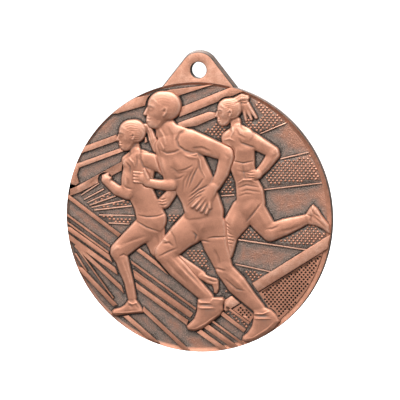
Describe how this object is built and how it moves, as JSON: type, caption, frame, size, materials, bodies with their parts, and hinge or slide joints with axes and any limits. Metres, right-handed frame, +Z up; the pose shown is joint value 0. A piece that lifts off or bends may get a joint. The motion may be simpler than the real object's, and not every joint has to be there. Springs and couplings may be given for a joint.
{
  "type": "finisher medal",
  "caption": "Round antique-copper medal with a hanging lug, runners in relief on a background of rays, beams and track lanes, and a plain plate in its back.",
  "frame": {"origin": "middle of the hanging lug's hole, half-way through the lug's thickness", "axes": "+Z up, along the medal's height; the face with the runners looks along -Y and the back along +Y; +X is to the right as the face is looked at"},
  "size_m": [0.05, 0.003, 0.0558],
  "materials": {
    "antique_copper_field": "dark antique copper patina over a fine grain, satin",
    "copper_figure": "satin antique copper, darker in the hollows",
    "copper_high": "brushed-off satin copper on the raised faces",
    "plate_metal": "fine brushed, copper-coloured",
    "adhesive_film": "matt film"
  },
  "bodies": {
    "root": {"disc_blank": "antique_copper_field", "suspension_lug": "copper_high", "rim_border": "copper_high", "runner_left": "copper_figure", "runner_middle": "copper_figure", "runner_right": "copper_figure", "upper_beams": "copper_high", "track_lanes": "copper_high", "cross_bar": "copper_high", "ray_ridges": "copper_high", "stud_panels": "antique_copper_field", "perforated_panel": "antique_copper_field", "engraving_plate": "plate_metal", "plate_adhesive": "adhesive_film"}
  },
  "joints": []
}
